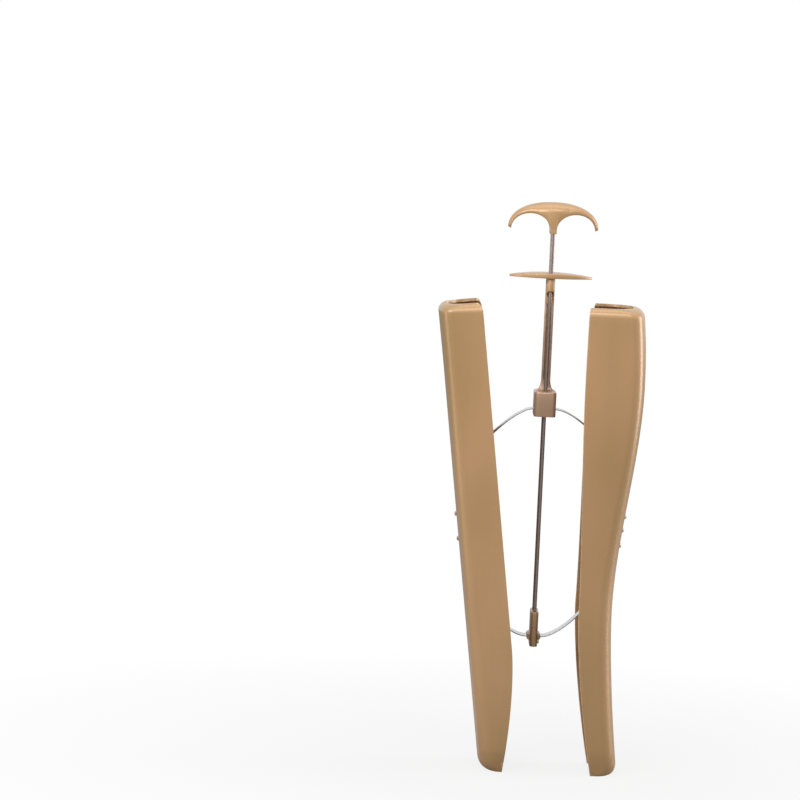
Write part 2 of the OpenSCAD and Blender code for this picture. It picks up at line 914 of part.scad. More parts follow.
module end_block() {
    color(dark_gold)
        at_axis()
            difference() {
                union() {
                    translate([0, 0, end_z])
                        linear_extrude(height = end_h - end_bevel)
                            end_plan(0);
                    hull()
                        for (s = [0, end_bevel - 0.01])
                            translate([0, 0, end_top - end_bevel + s])
                                linear_extrude(height = 0.01)
                                    end_plan(s * 0.7);
                    for (x = [-1, 1])
                        translate([x * (end_w / 2 + lip_reach - lip_r), 0, lower_z])
                            rotate([90, 0, 0])
                                cylinder(r = lip_r, h = band_w + 2 * lip_side, center = true,
                                    $fn = round_fn);
                }
                rod_bores(rod_low, end_top + cut, seat_gap);
                band_slot(end_w + 2 * lip_reach, lower_z);
                screw_hole(end_z, band_in_end);
                rod_places()
                    translate([-end_w / 2 + 1, 0, lock_z])
                        rotate([0, 90, 0])
                            cylinder(d = lock_d + 2 * seat_gap, h = end_w, $fn = round_fn);
            }
}

module end_screw() {
    color(rod_grey)
        at_axis()
            upward_screw(end_z, band_in_end + screw_grip);
}

// Two screws that cross the end block and lock the lower ends of the rods
module rod_screws() {
    color(dark_gold)
        at_axis()
            rod_places()
                translate([0, 0, lock_z])
                    rotate([0, 90, 0]) {
                        translate([0, 0, -end_w / 2 + 1 + seat_gap])
                            cylinder(d = lock_d, h = end_w - 1, $fn = round_fn);
                        translate([0, 0, end_w / 2])
                            cylinder(d = lock_head_d, h = lock_head_h, $fn = round_fn);
                    }
}

handle();
front_rod();
back_rod();
finger_flange();
spine();
block_screw();
upper_band();
end_block();
end_screw();
rod_screws();
lower_band();
shin_shell();
shin_upper_rivet();
shin_lower_rivet();
calf_shell();
calf_upper_rivets();
calf_lower_rivet();
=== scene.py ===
"""A boot shaper for tall boots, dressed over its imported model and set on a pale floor."""

import logging
import math
from dataclasses import dataclass, field
from enum import Enum
from functools import cache

import bmesh
import bpy
import numpy as np
from mathutils import Euler, Matrix, Vector


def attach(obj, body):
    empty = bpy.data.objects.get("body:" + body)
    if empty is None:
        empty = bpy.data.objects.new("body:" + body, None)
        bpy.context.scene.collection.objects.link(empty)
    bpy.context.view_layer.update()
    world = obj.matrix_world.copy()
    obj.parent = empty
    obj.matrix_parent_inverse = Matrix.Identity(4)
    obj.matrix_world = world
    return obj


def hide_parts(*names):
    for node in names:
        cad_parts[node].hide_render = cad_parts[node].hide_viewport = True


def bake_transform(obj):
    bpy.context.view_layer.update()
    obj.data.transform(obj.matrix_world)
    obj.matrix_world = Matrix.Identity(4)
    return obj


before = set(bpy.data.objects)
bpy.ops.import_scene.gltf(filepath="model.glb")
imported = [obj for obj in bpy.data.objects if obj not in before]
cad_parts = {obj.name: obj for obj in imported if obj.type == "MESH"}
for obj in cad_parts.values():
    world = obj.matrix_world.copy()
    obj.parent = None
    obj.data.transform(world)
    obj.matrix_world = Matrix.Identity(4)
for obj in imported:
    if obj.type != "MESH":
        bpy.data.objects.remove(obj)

LOG = logging.getLogger("boot_shaper")

Shade = tuple[int, int, int]
Triple = tuple[float, float, float]
Line = list[tuple[float, float]]
Pairs = tuple[tuple[float, float], ...]
Four = tuple[float, float, float, float]
Object = bpy.types.Object
Rings = np.ndarray

MM = 0.001  # metres in a millimetre
AXIS_X = 4.485  # from the frame's middle to the rods, in millimetres
WELD = 1e-6  # points nearer than this, in metres, become one
TIP_R = 0.01  # radius that stands for a closed end of a turned shape
MIDDLE = 0.5  # of a noise


# --- small sums


def mix(a: float, b: float, t: float) -> float:
    """Goes from a to b as t goes from 0 to 1."""
    return a + (b - a) * t


def limit(t: float) -> float:
    """Keeps t between 0 and 1."""
    return min(max(t, 0.0), 1.0)


def ease(t: float) -> float:
    """Smooth step of t between 0 and 1."""
    return t * t * (3 - 2 * t)


def linear(shade: Shade) -> Four:
    """Turns a picture colour, from 0 to 255, into a linear one with an alpha of 1."""
    parts = [c / 255 for c in shade]
    bent = [c / 12.92 if c <= 0.04045 else ((c + 0.055) / 1.055) ** 2.4 for c in parts]
    return (*bent, 1.0)


# --- shader tools


class Value:
    """A number in a material, from a socket, on which sums can be written."""

    def __init__(self, paint: "Paint", socket: bpy.types.NodeSocket) -> None:
        """Wraps a socket of the paint's node tree."""
        self.paint = paint
        self.socket = socket

    def _sum(self, operation: str, a: object, b: object) -> "Value":
        """Adds a Math node for one operation on a and b."""
        return self.paint.node("ShaderNodeMath", {"operation": operation}, {0: a, 1: b})

    def __add__(self, other: object) -> "Value":
        """Adds."""
        return self._sum("ADD", self, other)

    def __radd__(self, other: object) -> "Value":
        """Adds, the other way round."""
        return self._sum("ADD", other, self)

    def __sub__(self, other: object) -> "Value":
        """Subtracts."""
        return self._sum("SUBTRACT", self, other)

    def __mul__(self, other: object) -> "Value":
        """Multiplies."""
        return self._sum("MULTIPLY", self, other)


@dataclass(frozen=True)
class Grain:
    """A noise pattern and the two of its values between which it is spread."""

    scale: float
    detail: float
    stretch: Triple = (1, 1, 1)
    rough: float = 0.5
    low: float = 0.0
    high: float = 1.0


class Paint:
    """Builds the node tree of one material or of the world."""

    def __init__(self, owner: bpy.types.ID) -> None:
        """Empties the node tree of the material or world."""
        self.owner = owner
        owner.use_nodes = True
        self.tree = owner.node_tree
        self.tree.nodes.clear()

    @classmethod
    def named(cls, name: str) -> "Paint":
        """Starts a new material of that name."""
        return cls(bpy.data.materials.new(name))

    def node(self, kind: str, settings: dict[str, object], inputs: dict[object, object],
             output: object = 0) -> Value:
        """Adds any node.

        Args:
            kind: The node's type.
            settings: Its own settings, which are set first; "stops" are a ramp's two places.
            inputs: A value or a link for each socket, by name or number.
            output: Name or number of the socket that is wanted back.

        Returns:
            The wanted output.
        """
        made = self.tree.nodes.new(kind)
        for key, setting in settings.items():
            if key == "stops":
                for element, place in zip(made.color_ramp.elements, setting):
                    element.position = place
            else:
                setattr(made, key, setting)
        for key, given in inputs.items():
            if isinstance(given, Value):
                self.tree.links.new(given.socket, made.inputs[key])
            else:
                made.inputs[key].default_value = given
        return Value(self, made.outputs[output] if made.outputs else None)

    def place(self, stretch: Triple = (1, 1, 1)) -> Value:
        """The place on the object, in metres, stretched along its axes."""
        where = self.node("ShaderNodeTexCoord", {}, {}, "Object")
        settings = {"operation": "MULTIPLY"}
        return self.node("ShaderNodeVectorMath", settings, {0: where, 1: stretch})

    def cloud(self, grain: Grain) -> Value:
        """Soft noise, about 0.5 in the middle."""
        return self.node("ShaderNodeTexNoise", {}, {
            "Vector": self.place(grain.stretch), "Scale": grain.scale,
            "Detail": grain.detail, "Roughness": grain.rough})

    def ramp(self, value: Value, low: float, high: float) -> Value:
        """Spreads a value from 0 at low to 1 at high."""
        return self.node("ShaderNodeValToRGB", {"stops": (low, high)}, {0: value})

    def spread(self, grain: Grain) -> Value:
        """Noise that is spread between the pattern's two values."""
        return self.ramp(self.cloud(grain), grain.low, grain.high)

    def blend(self, share: object, a: object, b: object) -> Value:
        """Mixes the colours a and b by a share."""
        return self.node("ShaderNodeMix", {"data_type": "RGBA"}, {0: share, 6: a, 7: b}, 2)

    def edge(self, low: float, high: float) -> Value:
        """A mask that is 1 along outward edges."""
        return self.ramp(self.node("ShaderNodeNewGeometry", {}, {}, "Pointiness"), low, high)

    def bump(self, height: Value, distance: float, strength: float) -> Value:
        """A normal raised by a height."""
        return self.node("ShaderNodeBump", {}, {
            "Height": height, "Distance": distance, "Strength": strength})

    def finish(self, sockets: dict[str, object]) -> bpy.types.Material:
        """Ends the tree in one surface shader with the given sockets."""
        shader = self.node("ShaderNodeBsdfPrincipled", {}, sockets)
        self.node("ShaderNodeOutputMaterial", {}, {"Surface": shader})
        return self.owner


@dataclass(frozen=True)
class GoldPaint:
    """Satin gold-bronze paint on moulded plastic, a little uneven, with wear at its edges and a
    painted glint on its flakes.
    """

    name: str = "gold_paint"
    warm: Shade = (183, 142, 100)
    olive: Shade = (156, 122, 76)
    worn_and_glint: Shade = (212, 182, 146)
    soiled: Shade = (140, 108, 74)
    roughness: float = 0.42
    metallic: float = 0.22
    coat: float = 0.45
    coat_roughness: float = 0.26
    patches: Grain = Grain(9, 2, (1, 1, 0.5), low=0.36, high=0.64)
    streaks: Grain = Grain(70, 3, (1, 1, 0.05), low=0.35, high=0.7)
    flakes: Grain = Grain(2600, 2, low=0.45, high=0.75)
    rubbed: Grain = Grain(160, 4, low=0.42, high=0.62)
    skin: Grain = Grain(520, 2)
    edge: tuple[float, float] = (0.53, 0.6)
    streak_share: float = 0.16
    flake_share: float = 0.06
    even_wear: float = 0.35
    patchy_wear: float = 0.5
    patch_rough: float = 0.06
    flake_rough: float = 0.03
    rub_rough: float = 0.04
    flake_relief: float = 0.3
    relief_depth: float = 0.00003
    relief: float = 0.12

    def build(self) -> bpy.types.Material:
        """Makes the material."""
        p = Paint.named(self.name)
        patches, streaks = p.spread(self.patches), p.spread(self.streaks)
        flakes, rub = p.cloud(self.flakes), p.spread(self.rubbed)
        base = p.blend(patches, linear(self.warm), linear(self.olive))
        base = p.blend(streaks * self.streak_share, base, linear(self.soiled))
        # Painted glint: the flakes are lightened towards the pale colour of the wear.
        glint = p.ramp(flakes, self.flakes.low, self.flakes.high)
        base = p.blend(glint * self.flake_share, base, linear(self.worn_and_glint))
        wear = p.edge(*self.edge) * (self.even_wear + rub * self.patchy_wear)
        base = p.blend(wear, base, linear(self.worn_and_glint))
        rough = self.roughness + (patches - MIDDLE) * self.patch_rough
        rough = rough + (flakes - MIDDLE) * self.flake_rough + rub * self.rub_rough
        skin = p.cloud(self.skin) * (1 - self.flake_relief) + flakes * self.flake_relief
        return p.finish({
            "Base Color": base, "Metallic": self.metallic, "Roughness": rough,
            "Coat Weight": self.coat, "Coat Roughness": self.coat_roughness,
            "Normal": p.bump(skin, self.relief_depth, self.relief)})


@dataclass(frozen=True)
class DrawnSteel:
    """Steel with fine lines along its length, a few darker stains and, on a band, painted shade
    along its edges.
    """

    name: str
    light: Shade
    dark: Shade
    stretch: Triple
    roughness: float = 0.3
    contrast: float = 1.0
    relief: float = 0.5
    edge_shade_from: float = 0.0
    edge_shade_colour: Shade = (104, 102, 102)
    edge_shade_share: float = 0.8
    stain: Grain = Grain(60, 4, low=0.5, high=0.72)
    stain_share: float = 0.3
    metallic: float = 0.9
    line_rough: float = 0.1
    stain_rough: float = 0.08
    relief_depth: float = 0.00002

    def shaded_edges(self, p: Paint) -> Value:
        """A mask for painted shade, which is 1 on a band's long edges, farther out along Y than
        the given distance.
        """
        widen, before, after = 100, 0.02, 0.01
        out = p.node("ShaderNodeSeparateXYZ", {}, {0: p.place()}, 1)
        out = p.node("ShaderNodeMath", {"operation": "ABSOLUTE"}, {0: out}) * widen
        return p.ramp(out, self.edge_shade_from * widen - before, self.edge_shade_from * widen + after)

    def build(self) -> bpy.types.Material:
        """Makes the material."""
        p = Paint.named(self.name)
        lines, stain = p.cloud(Grain(900, 3, self.stretch, 0.6)), p.spread(self.stain)
        base = p.blend(lines * self.contrast, linear(self.light), linear(self.dark))
        base = p.blend(stain * self.stain_share, base, linear(self.dark))
        # Painted shade: a band's long edges are darkened.
        if self.edge_shade_from:
            base = p.blend(self.shaded_edges(p) * self.edge_shade_share, base, linear(self.edge_shade_colour))
        rough = self.roughness + (lines - MIDDLE) * self.line_rough
        return p.finish({
            "Base Color": base, "Metallic": self.metallic,
            "Roughness": rough + stain * self.stain_rough,
            "Normal": p.bump(lines, self.relief_depth, self.relief)})


class Finish(Enum):
    """The finishes of the shaper's pieces."""

    GOLD = "gold_plastic"
    DARK_GOLD = "dark_gold_plastic"
    # Darker copies of the gold plastic for the spine and the block: painted shade.
    SHADED_SPINE = "spine_plastic_painted_shade"
    SHADED_BLOCK = "block_plastic_painted_shade"
    ROD = "rod_steel"
    BAND = "band_steel"
    SCREW = "screw_steel"

    @property
    def slot(self) -> str:
        """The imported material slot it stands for."""
        return "gold_plastic" if self in (Finish.SHADED_SPINE, Finish.SHADED_BLOCK) else self.value


RECIPES = {
    Finish.GOLD: GoldPaint(),
    Finish.DARK_GOLD: GoldPaint("dark_gold_paint", (150, 116, 82), (132, 102, 68),
                                (184, 152, 116), (104, 80, 58), 0.34, 0.4),
    # The spine and the block are the gold plastic made darker: painted shade.
    Finish.SHADED_SPINE: GoldPaint("spine_paint_painted_shade", (146, 116, 94), (136, 108, 86),
                            (172, 142, 114), (102, 80, 62), 0.42, 0.3),
    Finish.SHADED_BLOCK: GoldPaint("block_paint_painted_shade", (163, 130, 104), (152, 122, 96),
                            (190, 160, 130), (112, 88, 66), 0.4, 0.35),
    # The rods' steel is tinted a dark pinkish grey: painted reflection of the gold pieces and of
    # the dark surroundings.
    Finish.ROD: DrawnSteel("rod_steel_painted_reflection", (156, 140, 134), (118, 102, 96),
                           (1, 1, 0.01), roughness=0.34, contrast=0.6),
    # The band's long edges are darkened with painted shade.
    Finish.BAND: DrawnSteel("band_steel_painted_edge_shade", (216, 216, 218), (180, 179, 180),
                            (0.02, 0.5, 0.02), contrast=0.35, relief=0.12, edge_shade_from=0.0067),
    Finish.SCREW: DrawnSteel("screw_steel_lines", (178, 160, 146), (136, 120, 108),
                             (1, 1, 1), roughness=0.36),
}


@cache
def material(finish: Finish) -> bpy.types.Material:
    """The material of a finish, which is made once."""
    return RECIPES[finish].build()


# --- mesh tools


class Body(Enum):
    """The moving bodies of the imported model."""

    CARRIAGE = "carriage"
    PLUNGER = "plunger"
    SHIN = "shin"
    CALF = "calf"
    SHIN_LINK = "shin_link"
    CALF_LINK = "calf_link"


def add(name: str, data: bpy.types.ID) -> Object:
    """Puts an object with this data into the scene."""
    made = bpy.data.objects.new(name, data)
    bpy.context.scene.collection.objects.link(made)
    return made


def seat(nodes: dict[Object, str], body: Body) -> None:
    """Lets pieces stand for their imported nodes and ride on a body."""
    for made, node in nodes.items():
        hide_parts(node)
        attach(made, body.value)
        LOG.info("%s rides on %s", made.name, body.value)


def piece(name: str, points: np.ndarray, faces: list[tuple[int, ...]],
          finish: Finish) -> Object:
    """Makes a mesh object from points in millimetres, measured from the rods.

    Args:
        name: Name of the piece.
        points: One row of three numbers for each point.
        faces: Point numbers of each face.
        finish: The finish it gets.

    Returns:
        The new object, smooth shaded, with its faces turned outwards.
    """
    shifted = np.asarray(points, float).reshape(-1, 3) + (AXIS_X, 0, 0)
    mesh = bpy.data.meshes.new(name)
    mesh.from_pydata((shifted * MM).tolist(), [], faces)
    work = bmesh.new()
    work.from_mesh(mesh)
    bmesh.ops.remove_doubles(work, verts=work.verts, dist=WELD)
    bmesh.ops.recalc_face_normals(work, faces=work.faces)
    work.to_mesh(mesh)
    work.free()
    mesh.polygons.foreach_set("use_smooth", [True] * len(mesh.polygons))
    made = add(name, mesh)
    mesh.materials.append(material(finish))
    return made


def loft(rings: Rings, ends: bool = True) -> list[tuple[int, ...]]:
    """Faces that join closed rings, with the first and last ring filled if ends is true."""
    count, size = rings.shape[:2]
    faces = []
    for i in range(count - 1):
        for k in range(size):
            j = (k + 1) % size
            faces.append((i * size + k, i * size + j, (i + 1) * size + j, (i + 1) * size + k))
    if ends:
        faces.append(tuple(range(size)))
        faces.append(tuple(range((count - 1) * size, count * size)))
    return faces


def solid(name: str, rings: Rings, finish: Finish = Finish.GOLD) -> Object:
    """Makes a piece from rings, with both ends filled."""
    return piece(name, rings, loft(rings), finish)


def settle(made: Object) -> None:
    """Keeps the result of a piece's modifiers in its mesh."""
    bpy.context.view_layer.update()
    ready = made.evaluated_get(bpy.context.evaluated_depsgraph_get())
    mesh = bpy.data.meshes.new_from_object(ready)
    made.modifiers.clear()
    made.data = mesh


def sharpen(made: Object, angle: float = 50.0) -> Object:
    """Stops smooth shading at edges sharper than an angle, and returns the piece."""
    work = bmesh.new()
    work.from_mesh(made.data)
    for e in work.edges:
        e.smooth = not (len(e.link_faces) == 2 and e.calc_face_angle(0) > math.radians(angle))
    work.to_mesh(made.data)
    work.free()
    return made


def soften(made: Object, width: float, angle: float, segments: int = 3) -> Object:
    """Rounds edges sharper than an angle to a width in millimetres, and returns the piece."""
    bevel = made.modifiers.new("soft_edges", "BEVEL")
    bevel.width = width * MM
    bevel.segments = segments
    bevel.limit_method = "ANGLE"
    bevel.angle_limit = math.radians(angle)
    settle(made)
    return sharpen(made)


def carve(made: Object, tool: Object, operation: str = "DIFFERENCE") -> None:
    """Cuts, joins or crosses a piece with a solid tool and removes the tool."""
    cut = made.modifiers.new("cut", "BOOLEAN")
    cut.operation = operation
    cut.object = tool
    cut.solver = "EXACT"
    settle(made)
    bpy.data.objects.remove(tool)


def rounded(width: float, depth: float, radius: float, steps: int = 8) -> np.ndarray:
    """Corner points of a rounded rectangle about the origin."""
    line = []
    for sx, sy, start in ((1, 1, 0), (-1, 1, 90), (-1, -1, 180), (1, -1, 270)):
        for i in range(steps + 1):
            a = math.radians(start + 90 * i / steps)
            line.append((sx * (width / 2 - radius) + radius * math.cos(a),
                         sy * (depth / 2 - radius) + radius * math.sin(a)))
    return np.array(line)


def stacked(levels: list[tuple[float, Line | np.ndarray]]) -> Rings:
    """Rings from plans at given heights."""
    return np.array([[(p[0], p[1], z) for p in plan] for z, plan in levels])


def slab(outline: Line, low: float, high: float) -> Rings:
    """Two rings of an outline in X and Y at two heights."""
    return stacked([(low, outline), (high, outline)])


def turned(line: Line, steps: int = 40) -> Rings:
    """Rings of a turned shape about +Z, from radius and height pairs."""
    angles = np.radians(np.arange(steps) * 360 / steps)
    return np.array([[(r * math.cos(a), r * math.sin(a), z) for a in angles] for r, z in line])


def at(rings: Rings, x: float, y: float, z: float) -> Rings:
    """Moves rings."""
    return rings + np.array([x, y, z])


def along_x(rings: Rings) -> Rings:
    """Lays a shape that stands along +Z over, so that it runs along +X."""
    return np.stack([rings[..., 2], rings[..., 1], -rings[..., 0]], axis=-1)


def along_y(rings: Rings) -> Rings:
    """Lays a shape that stands along +Z over, so that it runs along +Y."""
    return np.stack([rings[..., 0], rings[..., 2], -rings[..., 1]], axis=-1)


def drill(made: Object, radius: float, low: float, high: float, finish: Finish,
          y: float = 0.0, steps: int = 40) -> None:
    """Cuts an upright round hole between two heights, at a distance y from the middle."""
    rings = at(turned([(radius, low), (radius, high)], steps), 0, y, 0)
    carve(made, solid("drill", rings, finish))


SOFT_FOOT = ((0.0, 0.45), (0.06, 0.27), (0.2, 0.1), (0.45, 0.0))  # rise, inset
LEAST_CORNER = 0.3


def cushion(width: float, depth: float, radius: float, low: float, high: float,
            head: Line) -> Rings:
    """Rings of an upright block whose edges step in, as drops and insets say at its top."""
    steps = [(low + rise, i) for rise, i in SOFT_FOOT] + [(high - fall, i) for fall, i in head]
    return stacked([(z, rounded(width - 2 * i, depth - 2 * i, max(radius - i, LEAST_CORNER)))
                    for z, i in steps])


@dataclass
class ScrewHead:
    """A round slotted screw head, which faces down or, laid over, along +X."""

    name: str
    place: Triple
    radius: float
    finish: Finish = Finish.SCREW
    laid_over: bool = False
    height: float = 1.4
    profile: Pairs = ((0.86, 0.0), (0.96, 0.08), (1.0, 0.25), (1.0, 1.0))
    slot_half: float = 0.3
    slot_out: float = 0.2
    slot_share: float = 0.45
    steps: int = 36

    def build(self) -> Object:
        """Builds the screw head."""
        r, h, s = self.radius, self.height, self.slot_half
        rings = turned([(TIP_R, 0), *((r * a, h * b) for a, b in self.profile)], self.steps)
        tool = slab([(-r, -s), (r, -s), (r, s), (-r, s)], -self.slot_out, h * self.slot_share)
        if self.laid_over:
            rings, tool = along_x(rings * (1, 1, -1)), along_x(tool * (1, 1, -1))
        made = solid(self.name, at(rings, *self.place), self.finish)
        carve(made, solid("slot", at(tool, *self.place), self.finish))
        return sharpen(made)


# --- the shells


@dataclass
class Shell:
    """One of the two hollow shells, rolled over at its rim and rounded in at its foot."""

    name: str
    body: Body
    side: int
    crown: float
    height: float = 376.5
    wall: float = 2.2
    depth_foot: float = 61.0
    depth_middle: float = 65.0
    depth_top: float = 73.0
    middle_z: float = 193.0
    toe_z: float = 17.5
    toe_in: float = 3.5
    toe_power: float = 1.2
    rim_r: float = 7.0
    rim_lip: float = 1.5
    rim_corner: float = 30.0
    rim_back: float = 4.0
    foot_r: float = 9.0
    foot_turn: float = 80.0
    corner_share: float = 0.88
    least_corner: float = 0.8
    drop: float = 0.0
    drop_h: float = 50.0
    far_set_back: float = 0.0
    set_back_z: float = 130.0
    shave: float = 0.08
    edge_strip: float = 0.8
    edge_soft: float = 0.4
    soft_angle: float = 50.0
    foot_steps: int = 12
    toe_steps: int = 4
    wall_steps: int = 40
    rim_steps: int = 12
    corner_steps: int = 16
    front_steps: int = 12
    side_steps: int = 8

    def reach(self, z: float) -> float:
        """Distance from the rods to the outer wall at height z."""
        raise NotImplementedError

    def side_width(self, z: float) -> float:
        """Width of the sides at height z."""
        raise NotImplementedError

    def corner(self, z: float) -> float:
        """Corner radius at height z."""
        raise NotImplementedError

    @property
    def foot_rise(self) -> float:
        """Height to which the foot is rounded in."""
        return self.foot_r * math.sin(math.radians(self.foot_turn))

    def half_depth(self, z: float) -> float:
        """Half of the depth across the shell at height z."""
        if z > self.middle_z:
            share = (z - self.middle_z) / (self.height - self.middle_z)
            depth = mix(self.depth_middle, self.depth_top, share)
        else:
            depth = mix(self.depth_foot, self.depth_middle, z / self.middle_z)
        return depth / 2 - self.toe_in * limit((self.toe_z - z) / self.toe_z) ** self.toe_power

    def half_line(self, z: float, inset: float, turn: float, back: float) -> list[Triple]:
        """One side of a section line, from its free edge to the middle of the front.

        Args:
            z: Height.
            inset: How far the line is drawn in.
            turn: From 0 to 1 as the rim closes over.
            back: How far the free edge stands back.

        Returns:
            Points measured from the rods, with +X outwards.
        """
        foot = math.asin(limit((self.foot_rise - z) / self.foot_r))
        lean = foot if z > 0 else 0.0
        edge = self.reach(z) - self.side_width(z) + turn * self.rim_back + back
        far = self.reach(z) - self.shave - self.foot_r * (1 - math.cos(foot))
        far -= inset * math.cos(lean)
        half_d = self.half_depth(z) - inset
        corner = mix(self.corner(z), self.rim_corner, turn) - inset
        corner = max(min(corner, self.corner_share * (far - edge)), self.least_corner)
        crown = self.crown - inset
        fall = math.asin((half_d - corner) / (crown - corner))
        cx = far - crown + (crown - corner) * math.cos(fall)
        line = [(edge, half_d), (edge + self.edge_strip, half_d)]
        line += [(mix(edge, cx, i / self.side_steps), half_d) for i in range(1, self.side_steps)]
        for i in range(self.corner_steps + 1):
            a = mix(math.pi / 2, fall, i / self.corner_steps)
            line.append((cx + corner * math.cos(a), half_d - corner + corner * math.sin(a)))
        for i in range(1, self.front_steps + 1):
            a = fall * (1 - i / self.front_steps)
            line.append((far - crown + crown * math.cos(a), crown * math.sin(a)))
        share = limit((z - self.height + self.drop_h) / self.drop_h)
        placed = []
        for x, y in line:
            out = limit((x - edge) / (far - edge))
            lift = inset * math.sin(lean) * ease(limit(2 * out - 1))
            placed.append((x, y, z + lift - self.drop * share * out))
        return placed

    def line(self, z: float, inset: float, turn: float) -> list[Triple]:
        """The whole section line, the far side first."""
        share = limit((z - self.set_back_z) / (self.height - self.set_back_z))
        far = self.half_line(z, inset, turn, self.far_set_back * share)
        near = self.half_line(z, inset, turn, 0.0)
        return far + [(x, -y, h) for x, y, h in near[-2::-1]]

    def levels(self) -> list[tuple[float, float, float, float, float]]:
        """Height and inset of each ring's outer and inner line, and the turn of its rim."""
        roll_z, inner = self.height - self.rim_r, self.rim_r - self.wall
        turns = [math.radians(self.foot_turn * i / self.foot_steps)
                 for i in range(self.foot_steps, 0, -1)]
        plain = [max(self.foot_rise - self.foot_r * math.sin(a), 0.0) for a in turns]
        for low, high, steps in ((self.foot_rise, self.toe_z, self.toe_steps),
                                 (self.toe_z, self.middle_z, self.wall_steps),
                                 (self.middle_z, roll_z, self.wall_steps)):
            plain += [mix(low, high, i / steps) for i in range(steps)]
        rows = [(z, 0.0, z, self.wall, 0.0) for z in plain]
        for i in range(self.rim_steps + 1):
            a = math.pi / 2 * i / self.rim_steps
            rows.append((roll_z + self.rim_r * math.sin(a), self.rim_r * (1 - math.cos(a)),
                         roll_z + inner * math.sin(a), self.rim_r - inner * math.cos(a),
                         1 - math.cos(a)))
        reach = self.rim_r + self.rim_lip
        rows.append((self.height, reach, self.height - self.wall, reach, 1.0))
        return rows

    def build(self) -> None:
        """Builds the shell's mesh, dresses it and lets it ride."""
        rings = []
        for z_out, in_out, z_in, in_in, turn in self.levels():
            outer, inner = self.line(z_out, in_out, turn), self.line(z_in, in_in, turn)
            rings.append([(self.side * x, y, z) for x, y, z in outer + inner[::-1]])
        rings = np.array(rings)
        faces = loft(rings, ends=False)
        size = rings.shape[1]
        for start in (0, size * (len(rings) - 1)):
            for k in range(size // 2 - 1):
                last = start + size - 1 - k
                faces.append((start + k, start + k + 1, last - 1, last))
        made = piece(self.name + "_skin", rings, faces, Finish.GOLD)
        seat({soften(made, self.edge_soft, self.soft_angle): self.name}, self.body)


@dataclass
class ShinShell(Shell):
    """The straight shell for the front of the boot."""

    name: str = "shin_shell"
    body: Body = Body.SHIN
    side: int = -1
    crown: float = 170.0
    drop: float = 2.7
    foot_reach: float = 39.5
    top_reach: float = 89.5
    side_w: float = 35.3
    foot_side_w: float = 18.6
    taper_z: float = 100.0
    taper_power: float = 1.6
    foot_corner: float = 13.0
    top_corner: float = 8.0
    corner_z: float = 150.0

    def reach(self, z: float) -> float:
        """Reach at height z."""
        return mix(self.foot_reach, self.top_reach, z / self.height)

    def side_width(self, z: float) -> float:
        """Side width at height z."""
        share = limit((self.taper_z - z) / self.taper_z) ** self.taper_power
        return mix(self.side_w, self.foot_side_w, share)

    def corner(self, z: float) -> float:
        """Corner radius at height z."""
        return mix(self.foot_corner, self.top_corner, ease(limit(z / self.corner_z)))


@dataclass
class CalfShell(Shell):
    """The bulging shell for the back of the boot, measured at top, bulge, ankle and foot."""

    name: str = "calf_shell"
    body: Body = Body.CALF
    side: int = 1
    crown: float = 140.0
    rim_back: float = 1.2
    far_set_back: float = 7.0
    bulge_z: float = 315.0
    ankle_z: float = 130.0
    foot_power: float = 1.6
    reaches: Four = (76, 79.6, 62.3, 72.5)
    side_widths: Four = (45.2, 49.2, 28, 22.5)
    corner_r: float = 10.0

    def curve(self, z: float, measures: Four) -> float:
        """A measure at height z that follows the calf from top to foot."""
        top, bulge, ankle, foot = measures
        if z > self.bulge_z:
            return mix(bulge, top, ((z - self.bulge_z) / (self.height - self.bulge_z)) ** 2)
        if z > self.ankle_z:
            return mix(ankle, bulge, ease((z - self.ankle_z) / (self.bulge_z - self.ankle_z)))
        share = limit((self.ankle_z - z) / self.ankle_z) ** self.foot_power
        return mix(ankle, foot, share)

    def reach(self, z: float) -> float:
        """Reach at height z."""
        return self.curve(z, self.reaches)

    def side_width(self, z: float) -> float:
        """Side width at height z."""
        return self.curve(z, self.side_widths)

    def corner(self, z: float) -> float:
        """Corner radius at height z."""
        return self.corner_r


# --- the bands


